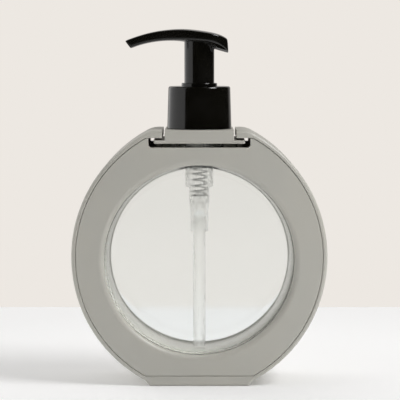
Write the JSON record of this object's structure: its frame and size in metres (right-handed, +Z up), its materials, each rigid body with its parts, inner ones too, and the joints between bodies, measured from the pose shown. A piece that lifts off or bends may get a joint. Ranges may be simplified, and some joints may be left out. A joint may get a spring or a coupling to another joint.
{
  "type": "soap pump dispenser",
  "caption": "Hand soap dispenser: clear flat round bottle held in a two-piece plastic ring casing with round windows, and a black push-down lotion pump with a side spout.",
  "frame": {"origin": "centre of the foot's flat underside", "axes": "+Z up along the pump's axis, -Y out of the front window, -X the way the spout points at rest"},
  "size_m": [0.1298, 0.04, 0.1812],
  "materials": {
    "casing": "fine satin moulded ABS, warm grey",
    "clear_bottle": "clear polished PET",
    "black_plastic": "smooth glossy polypropylene",
    "natural_plastic": "translucent natural polypropylene",
    "white_plastic": "opaque white polyethylene",
    "foam_gasket": "soft white polyethylene foam",
    "ball_glass": "clear polished glass",
    "steel": "drawn stainless steel"
  },
  "bodies": {
    "casing": {"rear_housing": "casing", "neck_bridge": "casing", "bottle": "clear_bottle"},
    "cover": {"front_cover": "casing"},
    "pump": {"pump_cylinder": "natural_plastic", "locking_ring": "black_plastic", "gasket": "foam_gasket", "dip_tube": "natural_plastic", "check_ball": "ball_glass", "ball_cage": "natural_plastic", "spring": "steel"},
    "collar": {"closure_collar": "black_plastic"},
    "plunger": {"piston": "white_plastic"},
    "head": {"actuator_head": "black_plastic", "actuator_stem": "white_plastic", "plunger_seat": "white_plastic"}
  },
  "joints": [
    {"name": "cover_slide", "type": "slide", "parent": "casing", "child": "cover", "axis": [0, -1, 0], "range_m": [0, 0.03]},
    {"name": "pump_lift", "type": "slide", "parent": "casing", "child": "pump", "axis": [0, 0, 1], "range_m": [0, 0.14]},
    {"name": "collar_turn", "type": "hinge", "parent": "pump", "child": "collar", "pos_m": [0, 0, 0.138], "axis": [0, 0, 1], "continuous": true},
    {"name": "head_press", "type": "slide", "parent": "pump", "child": "plunger", "axis": [0, 0, -1], "range_m": [0, 0.014], "stiffness_N_per_m": 700, "springref_m": -0.01, "deforming": ["spring"]},
    {"name": "head_turn", "type": "hinge", "parent": "plunger", "child": "head", "pos_m": [0, 0, 0.16], "axis": [0, 0, 1], "continuous": true}
  ]
}
